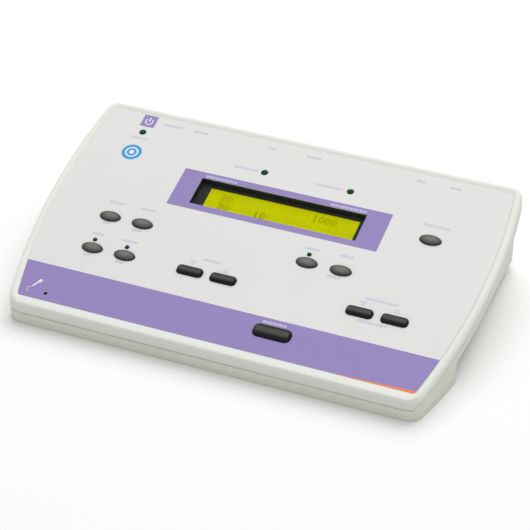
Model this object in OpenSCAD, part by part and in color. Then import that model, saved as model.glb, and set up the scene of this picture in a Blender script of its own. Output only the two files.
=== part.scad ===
// Desk-top screening audiometer: a wedge-shaped console with bowed sides, a sloping
// key panel, a two-line display and a row of sockets along the back.
// Millimetres. X is the width, Y runs from the user to the back, Z is up from the table.

/* [Case] */
// Width over the bowed sides
case_w = 270; // [250:1:300]
// Depth from the front face to the back of the cover
case_d = 160; // [150:1:180]
// Slope of the key panel
tilt = 14; // [10:0.5:17]
// Height of the panel above the table at the front edge of the stripe
front_h = 15; // [14:0.5:20]
// Plan radius of each bowed side
bow_r = 375; // [300:5:600]
// Distance from the front face to the widest place
bow_from_front = 100; // [85:1:115]
// Plan radius of the two front corners
front_corner_r = 9; // [7.5:0.5:14]
// Plan radius of the two back corners
rear_corner_r = 7.5; // [7:0.5:14]
// Wall of the two shells
wall = 2.5; // [2:0.1:3]
// Fine gap at the line where the shells meet
seam = 0.2; // [0.1:0.05:0.3]

/* [Rim] */
// Width of the raised rim at the sides and the back
rim_w = 4.8; // [4:0.1:6]
// Height of the rim above the panel
rim_h = 0.7; // [0.4:0.1:1.2]
// Height of the cover's edge below the panel at the sides
edge_h = 4; // [3.6:0.1:5]
// Depth of the smooth band at the front, up to the stripe
front_band = 6.2; // [5.5:0.1:7]
// Height of the cover's rolled front edge above the table
front_seam_h = 7.4; // [6:0.1:8]

/* [Base] */
// Height of the band under the cover that is flush with it
flange_h = 5.1; // [4:0.1:7]
// Half width of the straight side walls under that band
core_half_w = 127.5; // [122:0.5:128.5]
// Length of the flush front feet, from the front face
foot_len = 42; // [34:1:50]
// Width of each front foot
foot_w = 14; // [10:1:20]
// Depth of the bar across the front
bar_len = 16; // [14:1:20]
// Height of the bar's underside above the table
bar_clear = 0.5; // [0.3:0.1:1.5]
// Height of the base's underside above the table
base_clear = 4.7; // [3.5:0.1:5]
// Diameter of the rubber feet
pad_d = 12; // [8:0.5:13]

/* [Panel print and display] */
// Thickness of the printed overlay
overlay_t = 0.4; // [0.3:0.05:0.5]
// Height of the stripe along the front of the overlay
stripe_h = 26; // [20:0.5:30]
// Width of the display opening
window_w = 102.6; // [98:0.2:106]
// Height of the display opening
window_h = 20.8; // [18:0.2:24]
// Distance of the display's centre line from the front of the stripe
window_v = 103.5; // [101:0.1:106]
// Width of the lit display field
field_w = 92.6; // [88:0.2:96]
// Height of the lit display field
field_h = 15.4; // [12:0.2:17]
// Offset of the display field to the right of the opening's centre
field_u = 1.5; // [0:0.1:2]

/* [Keys] */
// Length of the oval keys
oval_l = 12.6; // [10:0.1:14]
// Width of the oval keys
oval_w = 7; // [6:0.1:8]
// Length of the black bar keys
bar_key_l = 15.4; // [12:0.1:17]
// Width of the black bar keys
bar_key_w = 6; // [5:0.1:7]
// Length of the tone key on the stripe
tone_key_l = 22; // [18:0.1:24]
// Width of the tone key on the stripe
tone_key_w = 8.4; // [7:0.1:9]
// Corner radius of the bar keys and the tone key, as a share of their width
bar_corner = 0.38; // [0.3:0.02:0.46]
// Height of the keys above the panel
key_h = 2; // [1.4:0.1:3]
// Play around each key
key_gap = 0.3; // [0.2:0.05:0.5]
// How far a key goes down
key_travel = 0.8; // [0.3:0.05:0.9]
// Spacing of neighbouring keys
key_pitch = 20.35; // [19:0.05:21]
// Distance of the rear key row from the front of the stripe
rear_row_v = 69.5; // [66:0.5:72]
// Distance of the front key row from the front of the stripe
front_row_v = 44.2; // [42:0.1:47]
// Distance of the tone key from the front of the stripe
tone_row_v = 16.1; // [15.5:0.1:17]
// Half distance between the outermost key columns
column_u = 91.5; // [89:0.5:94]
// Diameter of the three large lamps
lamp_d = 4.1; // [3.5:0.1:5.6]
// Diameter of the three small lamps
small_lamp_d = 2.5; // [2:0.1:3.6]
// Height of the lamps above the panel
lamp_h = 1.3; // [0.6:0.1:2]

/* [Back panel] */
// Thickness of the back panel
back_t = 2; // [1.5:0.1:2.5]
// Bore of the three headset sockets
jack_bore = 6.4; // [6.35:0.05:6.6]
// Depth of that bore
jack_depth = 30; // [26:0.5:32]
// Height of a headset socket's axis above the board
jack_axis_h = 8.4; // [8:0.1:10]
// How far the headset sockets stand out behind the cover
stick_out = 4.6; // [4:0.1:6]
// Swing of the power rocker from its middle place
rocker_swing = 8; // [5:0.5:10]
// Width of the power rocker
rocker_w = 9.4; // [8:0.1:10]
// Height of the power rocker
rocker_l = 15.4; // [13:0.1:16]

/* [Boards] */
// Thickness of the circuit boards
board_t = 1.6; // [1.2:0.1:1.8]
// Depth of the key board's face below the panel
key_board_n = 8.2; // [7.8:0.1:8.6]
// Height of the main board's posts
post_h = 4; // [3.8:0.1:5]

/* [Hidden] */

$fn = 48;
eps = 0.01;
far = 400;
tall = 80;

shell_colour = [0.89, 0.89, 0.87];
print_colour = [0.59, 0.53, 0.75];
dark_colour = [0.14, 0.14, 0.14];
grey_key_colour = [0.4, 0.41, 0.42];
board_colour = [0.1, 0.35, 0.2];
metal_colour = [0.75, 0.75, 0.77];

// ---- places in plan -------------------------------------------------------
front_y = -(case_d + stick_out) / 2;
rear_y = front_y + case_d;
bow_y = front_y + bow_from_front;
bow_x = case_w / 2 - bow_r;
panel_y = front_y + front_band;
function panel_z(y) = front_h + (y - panel_y) * tan(tilt);
drop = 1 / cos(tilt);

// Centres of the corner fillets on the right-hand side, and where they meet the bow
rear_fx = bow_x + sqrt(pow(bow_r - rear_corner_r, 2) - pow(rear_y - rear_corner_r - bow_y, 2));
front_fx = bow_x + sqrt(pow(bow_r - front_corner_r, 2) - pow(front_y + front_corner_r - bow_y, 2));
rear_turn = atan2(rear_y - rear_corner_r - bow_y, rear_fx - bow_x);
front_turn = atan2(front_y + front_corner_r - bow_y, front_fx - bow_x);
corner_steps = 6;
side_steps = 14;
half_steps = 2 * corner_steps + side_steps;

function polar(r, a) = [r * cos(a), r * sin(a)];
// A point of the right-hand outline, front to back, moved in by inset
function edge_point(s, inset) =
    s <= corner_steps
    ? [front_fx, front_y + front_corner_r]
        + polar(front_corner_r - inset, -90 + (front_turn + 90) * s / corner_steps)
    : s <= corner_steps + side_steps
    ? [bow_x, bow_y]
        + polar(bow_r - inset, front_turn + (rear_turn - front_turn) * (s - corner_steps) / side_steps)
    : [rear_fx, rear_y - rear_corner_r]
        + polar(rear_corner_r - inset,
            rear_turn + (90 - rear_turn) * (s - corner_steps - side_steps) / corner_steps);
// 1 along the front, 0 along the sides and the back, blended round the front corner
function front_share(s) = max(0, 1 - s / corner_steps);
function mix(a, b, share) = a * (1 - share) + b * share;
function mirrored(p) = len(p) == 3 ? [-p.x, p.y, p.z] : [-p.x, p.y];
function whole(half) = concat(half, [for (s = [len(half) - 1 : -1 : 0]) mirrored(half[s])]);
function outline(inset) = whole([for (s = [0 : half_steps]) edge_point(s, inset)]);

// A row is [inset, rise] at the sides and the same at the front, rise from the panel plane
function ring(row) = whole([for (s = [0 : half_steps])
    let (inset = mix(row[0], row[2], front_share(s)), rise = mix(row[1], row[3], front_share(s)),
        p = edge_point(s, inset)) [p.x, p.y, panel_z(p.y) + rise * drop]]);

module loft(rows) {
    n = 2 * (half_steps + 1);
    top = len(rows) - 1;
    points = [for (row = rows) each ring(row)];
    walls = [for (k = [0 : top - 1], s = [0 : n - 1]) let (t = (s + 1) % n)
        each [[k * n + s, (k + 1) * n + s, (k + 1) * n + t], [k * n + s, (k + 1) * n + t, k * n + t]]];
    caps = [[for (s = [0 : n - 1]) s], [for (s = [n - 1 : -1 : 0]) top * n + s]];
    polyhedron(points = points, faces = concat(caps, walls), convexity = 6);
}

// ---- places on the sloping panel ------------------------------------------
module on_panel(u = 0, v = 0, n = 0)
    translate([0, panel_y, front_h]) rotate([tilt, 0, 0]) translate([u, v, n]) children();

// Centres of the display opening and of the lit field
window_x = -0.5;
field_x = window_x + field_u;
// How far the display's glass and its frame reach past the field
glass_lap = [6.4, 5.8];
frame_lap = [10, 9];
glass_play = 0.6;

// Depths below the panel plane
skin_n = overlay_t + 0.1;
plate_n = skin_n + wall;
liner_n = plate_n + 0.6;
pane_t = 0.6;
pane_n = liner_n + pane_t;
frame_n = pane_n + 0.15;
field_n = frame_n + 0.3;
switch_size = 6;
switch_h = 3;
switch_top_n = key_board_n - switch_h;
key_flange_t = 1;
key_rest_gap = 0.15;
stem_d = 3.2;
stem_gap = 0.3;
flange_grow = 0.9;

ovals = [
    ["menu_key", [-column_u, rear_row_v]],
    ["print_key", [-column_u + key_pitch, rear_row_v]],
    ["left_key", [-column_u, front_row_v]],
    ["right_key", [-column_u + key_pitch, front_row_v]],
    ["loud_key", [key_pitch * 1.5, rear_row_v]],
    ["auto_key", [key_pitch * 2.5, rear_row_v]],
    ["talk_key", [column_u, window_v + 2.1]]];
bars = [
    ["signal_down_key", [-key_pitch * 1.5, front_row_v]],
    ["signal_up_key", [-key_pitch * 0.5, front_row_v]],
    ["frequency_down_key", [column_u - key_pitch, front_row_v]],
    ["frequency_up_key", [column_u, front_row_v]]];
tone_place = [key_pitch * 1.5, tone_row_v];
key_places = concat([for (k = ovals) k[1]], [for (k = bars) k[1]], [tone_place]);

power_lamp = [-101.2, window_v + 34.9];
present_lamp = [-18.2, window_v + 24.6];
response_lamp = [35.3, window_v + 24.6];
lamp_places = [power_lamp, present_lamp, response_lamp];
small_lamp_rise = oval_w / 2 + 2.8;
small_lamp_places = [ovals[2][1] + [-1.1, small_lamp_rise], ovals[3][1] + [-1.1, small_lamp_rise],
    ovals[4][1] + [-0.8, small_lamp_rise]];
mic_place = [-102.9, 5.3];
mic_hole_d = 2.4;
mic_d = 9.7;
mic_t = 3.6;
boot_t = 1;
hole_gap = 0.25;

// ---- fixings ----------------------------------------------------------------
case_screw_d = 3;
case_head_d = 5.6;
case_head_h = 1.8;
boss_d = 8;
screw_y = [front_y + 10, rear_y - 14];
screw_x = [-mic_place.x - 17.9, core_half_w - 8];
case_screw_places = [[-screw_x[0], screw_y[0]], [screw_x[0], screw_y[0]],
    [-screw_x[1], screw_y[1]], [screw_x[1], screw_y[1]]];
boss_top = [base_clear + wall, panel_z(screw_y[1]) - 20];
board_screw_d = 2.5;
board_head_d = 4.6;
board_head_h = 1.6;
board_post_d = 6;
key_board_u = core_half_w - 14;
key_board_v = [12.6, (case_d - front_band) * drop - 16];
post_inset = 7.5;
key_board_screws = [[-key_board_u / 2, key_board_v[0] + post_inset + 2],
    [key_board_u / 2, tone_row_v + 17],
    [-key_board_u + post_inset, window_v - 11], [key_board_u - post_inset, window_v - 19],
    [-0.55 * key_board_u, key_board_v[1] - post_inset], [0.55 * key_board_u, key_board_v[1] - post_inset]];
display_board_w = 127.5;
display_board_h = 36;
display_board_n = key_board_n + 0.8;
display_screws = [for (a = [-1, 1], b = [-1, 1])
    [field_x + a * (display_board_w / 2 - 3.5), window_v + b * (display_board_h / 2 - 3.5)]];
display_cut_gap = 2;

back_recess = 1.1;
back_wall_t = back_recess + back_t + 1.2;
back_out_y = rear_y - back_recess;
back_in_y = back_out_y - back_t;
floor_z = base_clear + wall;
main_board_z = floor_z + post_h;
main_top_z = main_board_z + board_t;
main_board_x = core_half_w - 19.5;
main_board_y = [front_y + case_d / 3, back_in_y - 1.5];
main_screws = [for (x = [-1, 1]) for (y = [main_board_y[0] + 6, main_board_y[1] - jack_depth - 12])
    [x * (main_board_x - 8), y]];

// ---- back panel ---------------------------------------------------------------
back_opening_x = core_half_w - 12.5;
back_bottom_z = floor_z + 2;
groove = 1.5;
back_top_z = panel_z(back_in_y) - edge_h * drop - 0.3;
socket_z = main_top_z + jack_axis_h;
jack_x = [core_half_w - 56.5, core_half_w - 34.9, -core_half_w + 41.5];
power_x = -core_half_w + 61.5;
usb_x = -21.6;
printer_x = 5.2;
switch_x = -core_half_w + 26.1;
switch_z = (back_bottom_z + back_top_z) / 2;
jack_body_w = 15.6;
jack_neck_d = 9.4;
nut_d = 14;
nut_t = 2.2;
fit_gap = 0.25;

// ============================ shells ==========================================
// Everything below the line where the two shells meet, seen from the side
module below_seam(gap) {
    lip = 2;
    rotate([90, 0, 90]) linear_extrude(far, center = true)
        polygon([[front_y - 10, -10], [front_y - 10, front_seam_h - gap], [front_y + lip + gap, front_seam_h - gap],
            [front_y + lip + gap, panel_z(front_y + lip) - edge_h * drop - gap],
            [rear_y + 10, panel_z(rear_y + 10) - edge_h * drop - gap], [rear_y + 10, -10]]);
}

rim_rows = [
    [0, -15, 0, -15],
    [0, -2.3, 0, -5.6],
    [0.3, -1.2, 0.4, -3.6],
    [0.9, -0.2, 1.05, -2],
    [1.7, 0.45 * rim_h / 0.7, 1.9, -0.8],
    [2.7, rim_h, 2.9, -0.2],
    [3.7, 0.6 * rim_h, 4.2, 0],
    [rim_w - 0.1, 0, front_band - 0.1, 0],
    [rim_w, -skin_n, front_band, -skin_n]];

module key_hole(kind, grow) {
    if (kind == "oval") ellipse(oval_l / 2 + grow, oval_w / 2 + grow);
    if (kind == "bar") rounded_bar(bar_key_l, bar_key_w, grow);
    if (kind == "tone") rounded_bar(tone_key_l, tone_key_w, grow);
}
module ellipse(a, b)
    polygon([for (k = [0 : 31]) [a * cos(k * 360 / 32), b * sin(k * 360 / 32)]]);
module rounded_bar(l, w, grow) {
    r = bar_corner * w + grow;
    x = l / 2 + grow - r;
    y = w / 2 + grow - r;
    square([2 * x, w + 2 * grow], center = true);
    square([l + 2 * grow, 2 * y], center = true);
    for (a = [-1, 1], b = [-1, 1]) translate([a * x, b * y]) circle(r = r);
}
// Through cuts for the keys, lamps, microphone and display, as thick as asked
module panel_cuts(from_n, to_n, window_grow, key_grow) {
    depth = from_n - to_n;
    on_panel(0, 0, to_n) linear_extrude(depth) {
        for (k = ovals) translate(k[1]) key_hole("oval", key_grow);
        for (k = bars) translate(k[1]) key_hole("bar", key_grow);
        translate(tone_place) key_hole("tone", key_grow);
        for (p = lamp_places) translate(p) circle(d = lamp_d + 2 * hole_gap);
        for (p = small_lamp_places) translate(p) circle(d = small_lamp_d + 2 * hole_gap);
        translate(mic_place) circle(d = mic_hole_d);
        translate([window_x, window_v])
            square([window_w + 2 * window_grow, window_h + 2 * window_grow], center = true);
    }
}
liner_wall = 0.9;

module top_cover() color(shell_colour) {
    difference() {
        union() {
            difference() {
                loft(rim_rows);
                below_seam(0);
                loft([[3.1, -30, 4.6, -30], [3.1, -plate_n, 4.6, -plate_n]]);
            }
            // Posts for the key board and bosses for the case screws
            for (p = key_board_screws) on_panel(p.x, p.y, -key_board_n)
                cylinder(d = board_post_d, h = key_board_n - plate_n + 0.5);
            for (p = display_screws) on_panel(p.x, p.y, -display_board_n)
                cylinder(d = board_post_d - 1, h = display_board_n - plate_n + 0.5);
            for (k = [0 : 3]) let (p = case_screw_places[k], z = boss_top[k < 2 ? 0 : 1] + seam)
                translate([p.x, p.y, z])
                    cylinder(d = boss_d, h = panel_z(p.y) - (skin_n + wall / 2) * drop - z);
        }
        panel_cuts(eps, -plate_n - eps, liner_wall + 0.1, key_gap);
        for (p = key_board_screws) on_panel(p.x, p.y, -key_board_n - eps)
            cylinder(d = board_screw_d + 0.1, h = 5);
        for (p = display_screws) on_panel(p.x, p.y, -display_board_n - eps)
            cylinder(d = board_screw_d + 0.1, h = 5);
        for (k = [0 : 3]) let (p = case_screw_places[k], z = boss_top[k < 2 ? 0 : 1])
            translate([p.x, p.y, z - eps]) cylinder(d = case_screw_d + 0.1, h = case_bite[k < 2 ? 0 : 1] + 0.6);
    }
}
// How far the case screws reach into the cover
case_bite = [4.5, 9];

module core_plan() intersection() {
    polygon(outline(0));
    union() {
        translate([-core_half_w, front_y]) square([2 * core_half_w, case_d - core_corner_r]);
        translate([-core_half_w + core_corner_r, front_y]) square([2 * (core_half_w - core_corner_r), case_d]);
        for (s = [-1, 1]) translate([s * (core_half_w - core_corner_r), rear_y - core_corner_r])
            circle(r = core_corner_r);
    }
}
core_corner_r = 4;
module base_shell() color(shell_colour) {
    difference() {
        intersection() {
            below_seam(seam);
            union() {
                // Straight-sided tray
                translate([0, 0, base_clear]) linear_extrude(tall) core_plan();
                // Flush band all round, parallel to the panel
                intersection() {
                    linear_extrude(tall) polygon(outline(0));
                    on_panel(0, 0, -edge_h - flange_h) translate([-far / 2, -far / 2, 0]) cube(far);
                }
                // Round feet at the back
                for (k = [2, 3]) translate([pad_places[k].x, pad_places[k].y, bar_clear])
                    cylinder(d = pad_d + 4, h = base_clear - bar_clear + 1);
                // Front bar and the two flush front feet
                translate([0, 0, bar_clear]) linear_extrude(tall) intersection() {
                    polygon(outline(0));
                    union() {
                        translate([-far / 2, front_y]) square([far, bar_len]);
                        for (s = [-1, 1]) translate([s * (core_half_w - foot_w / 2 + 10), front_y + foot_len / 2])
                            square([foot_w + 20, foot_len], center = true);
                    }
                }
            }
        }
        // Hollow of the flush band, above its shelf
        intersection() {
            translate([-far / 2, front_y + wall + 2, 0]) cube([far, case_d - wall - 2 - back_wall_t, tall]);
            linear_extrude(tall) polygon(outline(wall + 1.5));
            on_panel(0, 0, -edge_h - flange_h + wall) translate([-far / 2, -far / 2, 0]) cube(far);
        }
        // Hollow of the tray
        intersection() {
            translate([0, 0, floor_z]) linear_extrude(tall) polygon(outline(wall + 1.5));
            translate([-core_half_w + wall, front_y + wall + 2, floor_z])
                cube([2 * (core_half_w - wall), case_d - wall - 2 - back_wall_t, tall]);
        }
        // Opening at the back and the groove that holds the back panel
        translate([-back_opening_x, rear_y - back_wall_t - eps, back_bottom_z])
            cube([2 * back_opening_x, back_wall_t + 1, tall]);
        translate([-back_opening_x - groove - 0.2, back_in_y - 0.1, back_bottom_z - groove - 0.2])
            cube([2 * (back_opening_x + groove + 0.2), back_t + 0.2, tall]);
        // Case screw holes and head recesses
        for (k = [0 : 3]) let (p = case_screw_places[k], low = k < 2 ? bar_clear : base_clear) {
            translate([p.x, p.y, -eps]) cylinder(d = case_screw_d + 0.5, h = 60);
            translate([p.x, p.y, low - eps]) cylinder(d = case_head_d + 0.6, h = case_head_h + 1);
        }
        for (p = pad_places) translate([p.x, p.y, bar_clear - eps]) cylinder(d = pad_d + 0.5, h = pad_sink);
        for (p = main_screws) translate([p.x, p.y, floor_z + 0.6]) cylinder(d = board_screw_d + 0.1, h = 20);
    }
    difference() {
        union() {
            for (k = [2, 3]) translate([case_screw_places[k].x, case_screw_places[k].y, base_clear + eps])
                cylinder(d = boss_d, h = boss_top[1] - base_clear - eps);
            for (p = main_screws) translate([p.x, p.y, floor_z - eps])
                cylinder(d = board_post_d, h = post_h + eps);
        }
        for (k = [2, 3]) translate([case_screw_places[k].x, case_screw_places[k].y, 0]) {
            cylinder(d = case_screw_d + 0.5, h = 60);
            translate([0, 0, base_clear - eps]) cylinder(d = case_head_d + 0.6, h = case_head_h + 1);
        }
        for (p = main_screws) translate([p.x, p.y, floor_z + 0.6]) cylinder(d = board_screw_d + 0.1, h = 20);
    }
}
pad_sink = 0.8;
pad_places = [[-core_half_w + 13, front_y + 15], [core_half_w - 13, front_y + 15],
    [-core_half_w + 22, rear_y - 20], [core_half_w - 22, rear_y - 20]];

module rubber_feet() color(dark_colour)
    for (p = pad_places) translate([p.x, p.y, 0]) {
        cylinder(d1 = pad_d - 1, d2 = pad_d, h = 0.6);
        translate([0, 0, 0.6]) cylinder(d = pad_d, h = bar_clear + pad_sink - 0.65);
    }

module case_screws() color(metal_colour)
    for (k = [0 : 3]) let (p = case_screw_places[k], low = (k < 2 ? bar_clear : base_clear) + 1,
            reach = boss_top[k < 2 ? 0 : 1] + case_bite[k < 2 ? 0 : 1])
        translate([p.x, p.y, low]) difference() {
            union() {
                cylinder(d = case_head_d, h = case_head_h - eps);
                cylinder(d = case_screw_d, h = reach - low);
            }
            translate([0, 0, -eps]) cylinder(d = 2.6, h = 1, $fn = 6);
        }

module rear_panel() color(shell_colour) {
    half = back_opening_x + groove;
    bottom = back_bottom_z - groove;
    difference() {
        translate([-half, back_in_y, bottom]) cube([2 * half, back_t, back_top_z - bottom]);
        for (x = jack_x) back_hole(x, socket_z, jack_neck_d + 2 * fit_gap);
        back_hole(power_x, power_z, power_d + 2 * fit_gap);
        back_hole(printer_x, printer_z, printer_d + 2 * fit_gap);
        translate([usb_x - usb_w / 2 - fit_gap, back_in_y - 1, usb_z - usb_h / 2 - fit_gap])
            cube([usb_w + 2 * fit_gap, back_t + 2, usb_h + 2 * fit_gap]);
        translate([switch_x - switch_w / 2 - fit_gap, back_in_y - 1, switch_z - switch_l / 2 - fit_gap])
            cube([switch_w + 2 * fit_gap, back_t + 2, switch_l + 2 * fit_gap]);
    }
}
module back_hole(x, z, d) translate([x, back_out_y + 1, z]) rotate([90, 0, 0]) cylinder(d = d, h = back_t + 2);

// ============================ panel face =======================================
module panel_overlay() color(print_colour) difference() {
    loft([[rim_w + 0.15, -skin_n + 0.05, front_band + 0.1, -skin_n + 0.05],
        [rim_w + 0.15, -0.02, front_band + 0.1, -0.02]]);
    panel_cuts(1, -2, 0, key_gap);
}

module display_liner() color(dark_colour) on_panel(window_x, window_v, 0) difference() {
    union() {
        translate([0, 0, -liner_n]) plate(window_w + 2 * liner_wall, window_h + 2 * liner_wall,
            liner_n - skin_n - 0.04);
        translate([0, 0, -liner_n]) plate(window_w + 8, window_h + 6, liner_n - plate_n - 0.05);
    }
    translate([0, 0, -liner_n - 1]) plate(window_w, window_h, liner_n + 2);
}
module plate(l, w, t) translate([-l / 2, -w / 2, 0]) cube([l, w, t]);

module display_window() color([0.8, 0.85, 0.85, 0.35])
    on_panel(window_x, window_v, -pane_n) plate(window_w + 8, window_h + 6, pane_t - 0.05);

module display_frame() color(dark_colour) on_panel(field_x, window_v, 0) difference() {
    translate([0, 0, -display_board_n]) plate(field_w + frame_lap.x, field_h + frame_lap.y,
        display_board_n - frame_n);
    translate([0, 0, -field_n - 2.5]) plate(field_w, field_h, 5);
    translate([0, 0, -display_board_n - 1]) plate(field_w + glass_lap.x + glass_play,
        field_h + glass_lap.y + glass_play, display_board_n - field_n + 1);
}
module display_glass() color([0.78, 0.8, 0.05]) on_panel(field_x, window_v, -display_board_n + 0.05)
    plate(field_w + glass_lap.x, field_h + glass_lap.y, display_board_n - field_n - 0.1);
module display_board() color(board_colour) on_panel(field_x, window_v, -display_board_n - board_t)
    difference() {
        plate(display_board_w, display_board_h, board_t - 0.05);
        for (p = display_screws) translate([p.x - field_x, p.y - window_v, -1])
            cylinder(d = board_screw_d + 0.4, h = 5);
    }

// ============================ keys ==============================================
key_low_n = plate_n + key_rest_gap + key_flange_t;
stem_end_n = switch_top_n + 1.2;
module key_stem() translate([0, 0, -stem_end_n]) cylinder(d = stem_d, h = stem_end_n - key_low_n + eps);

// Grey oval key, crowned along its length and across it
module oval_key(name) color(grey_key_colour) let (p = place_of(name)) on_panel(p.x, p.y, 0) {
    crown_l = oval_l * 1.9;
    crown_w = oval_w;
    intersection() {
        translate([0, 0, -key_low_n]) linear_extrude(key_low_n + key_h) key_hole("oval", 0);
        translate([0, 0, key_h - crown_l]) rotate([90, 0, 0]) rotate_extrude($fn = 96)
            translate([crown_l - crown_w, 0]) circle(r = crown_w, $fn = 96);
    }
    translate([0, 0, -key_low_n]) linear_extrude(key_flange_t) key_hole("oval", flange_grow);
    key_stem();
}
// Black bar key, crowned across its width
module bar_key(place, kind, w) color(dark_colour) on_panel(place.x, place.y, 0) {
    crown_r = w * 1.1;
    intersection() {
        translate([0, 0, -key_low_n]) linear_extrude(key_low_n + key_h) key_hole(kind, 0);
        translate([0, 0, key_h - crown_r]) rotate([0, 90, 0])
            union() {
                cylinder(r = crown_r, h = 60, center = true, $fn = 96);
                translate([0, -w, -30]) cube([crown_r + key_low_n, 2 * w, 60]);
            }
    }
    translate([0, 0, -key_low_n]) linear_extrude(key_flange_t) key_hole(kind, flange_grow);
    key_stem();
}
function place_of(name) = [for (k = concat(ovals, bars)) if (k[0] == name) k[1]][0];

module key_board() color(board_colour) difference() {
    on_panel(0, 0, -key_board_n - board_t) difference() {
        translate([-key_board_u, key_board_v[0], 0])
            cube([2 * key_board_u, key_board_v[1] - key_board_v[0], board_t - 0.05]);
        translate([field_x, window_v, -1])
            plate(display_board_w + 2 * display_cut_gap, display_board_h + 2 * display_cut_gap, 5);
        for (p = key_board_screws) translate([p.x, p.y, -1]) cylinder(d = board_screw_d + 0.4, h = 5);
    }
}
module key_switches() color(metal_colour) for (p = key_places) on_panel(p.x, p.y, -key_board_n)
    difference() {
        plate(switch_size, switch_size, switch_h);
        translate([0, 0, 0.6]) cylinder(d = stem_d + 2 * stem_gap, h = 5);
    }
module lamp(p, d) on_panel(p.x, p.y, 0) {
    translate([0, 0, -key_board_n]) cylinder(d = d, h = key_board_n + lamp_h - d / 2 + eps);
    intersection() {
        translate([0, 0, lamp_h - d / 2]) sphere(d = d);
        translate([0, 0, lamp_h - d / 2 + d]) cube(2 * d, center = true);
    }
}
module status_lamps() color([0, 0.42, 0.25]) for (p = lamp_places) lamp(p, lamp_d);
module key_lamps() color([0, 0.42, 0.25]) for (p = small_lamp_places) lamp(p, small_lamp_d);

module microphone() color(metal_colour) on_panel(mic_place.x, mic_place.y, -plate_n - 0.3 - mic_t)
    difference() {
        cylinder(d = mic_d, h = mic_t);
        translate([0, 0, mic_t - 0.4]) cylinder(d = mic_hole_d, h = 1);
    }
module microphone_boot() color(dark_colour)
    on_panel(mic_place.x, mic_place.y, -plate_n - 0.3 - mic_t) difference() {
        cylinder(d = mic_d + 2 * boot_t, h = mic_t + 0.25);
        translate([0, 0, -1]) cylinder(d = mic_d + 0.1, h = mic_t + 1.05);
        translate([0, 0, mic_t - 0.1]) cylinder(d = mic_hole_d + 1.2, h = 1);
    }

// ============================ boards ============================================
module main_board() color(board_colour) difference() {
    translate([-main_board_x, main_board_y[0], main_board_z])
        cube([2 * main_board_x, main_board_y[1] - main_board_y[0], board_t]);
    for (p = main_screws) translate([p.x, p.y, main_board_z - 1]) cylinder(d = board_screw_d + 0.4, h = 4);
}
chip_seat = main_top_z + 0.05;
module board_chips() color(dark_colour) {
    chips = [[-20, -8, 14, 14, 1.6], [12, -10, 10, 18, 2.2], [40, 4, 18, 8, 3], [62, 14, 18, 8, 3],
        [-52, 4, 20, 10, 4.4], [-30, 22, 8, 12, 2], [80, -6, 12, 8, 2]];
    for (c = chips) translate([c[0] - c[2] / 2, c[1] - c[3] / 2, chip_seat]) cube([c[2], c[3], c[4]]);
}
module board_capacitors() color([0.2, 0.22, 0.3]) {
    cans = [[-76, 22, 10, 12], [-62, 26, 10, 12], [-84, 8, 8, 9], [30, 30, 8, 9], [44, 34, 6.3, 7]];
    for (c = cans) translate([c[0], c[1], chip_seat]) cylinder(d = c[2], h = c[3]);
}
header_x = 46;
header_l = 24;
header_w = 8;
header_h = 5;
header_v = window_v + display_board_h / 2 + display_cut_gap + header_w + 1;
header_y = panel_y + header_v * cos(tilt) + (key_board_n + board_t) * sin(tilt);
module board_headers() color(dark_colour) {
    translate([header_x - header_l / 2, header_y - header_w / 2, chip_seat]) cube([header_l, header_w, header_h]);
    on_panel(header_x, header_v, -key_board_n - board_t - header_h) plate(header_l, header_w, header_h - 0.05);
}
// Flat cable that folds up from the main board to the key board
module ribbon_cable() color([0.6, 0.6, 0.62]) {
    t = 1;
    low = chip_seat + header_h + 0.05;
    high = front_h + header_v * sin(tilt) - (key_board_n + board_t + header_h) * cos(tilt) - 1.7;
    bulge = 9;
    translate([header_x - header_l / 2 + 1, 0, 0]) rotate([90, 0, 90]) linear_extrude(header_l - 2)
        polygon([[header_y + 3, low], [header_y - 2, low], [header_y - bulge, (low + high) / 2 - 2],
            [header_y - bulge, (low + high) / 2 + 1], [header_y - 2, high], [header_y + 3, high],
            [header_y + 3, high - t], [header_y - 1.6, high - t], [header_y - bulge + t, (low + high) / 2 + 0.6],
            [header_y - bulge + t, (low + high) / 2 - 1.6], [header_y - 1.6, low + t], [header_y + 3, low + t]]);
}
module board_screws() color(metal_colour) {
    for (p = key_board_screws) on_panel(p.x, p.y, -key_board_n - board_t - board_head_h - 0.05)
        board_screw(board_t + 4.5);
    for (p = display_screws) on_panel(p.x, p.y, -display_board_n - board_t - board_head_h - 0.05)
        board_screw(board_t + 4.5);
    for (p = main_screws) translate([p.x, p.y, main_top_z + 0.05 + board_head_h]) rotate([180, 0, 0])
        board_screw(board_t + 2.8);
}
module board_screw(reach) {
    cylinder(d = board_head_d, h = board_head_h);
    cylinder(d = board_screw_d, h = board_head_h + reach);
}

// ============================ sockets ============================================
module jack(x) color(dark_colour) {
    body_l = jack_depth - back_recess - back_t + 1.5;
    mouth = rear_y + stick_out;
    difference() {
        union() {
            translate([x - jack_body_w / 2, back_in_y - 0.1 - body_l, chip_seat])
                cube([jack_body_w, body_l, socket_z - chip_seat + jack_body_w / 2 - 0.4]);
            translate([x, mouth, socket_z]) rotate([90, 0, 0]) cylinder(d = jack_neck_d, h = mouth - back_in_y + 0.2);
        }
        translate([x, mouth + 1, socket_z]) rotate([90, 0, 0]) cylinder(d = jack_bore, h = jack_depth + 1);
    }
}
module jack_nuts() color(metal_colour) for (x = jack_x) translate([x, back_out_y + nut_t + 0.05, socket_z])
    rotate([90, 0, 0]) difference() {
        cylinder(d = nut_d, h = nut_t, $fn = 6);
        translate([0, 0, -1]) cylinder(d = jack_neck_d + 0.1, h = nut_t + 2);
    }
usb_w = 12;
usb_h = 11;
usb_z = chip_seat + usb_h / 2;
socket_face_y = back_out_y + 0.6;
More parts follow.
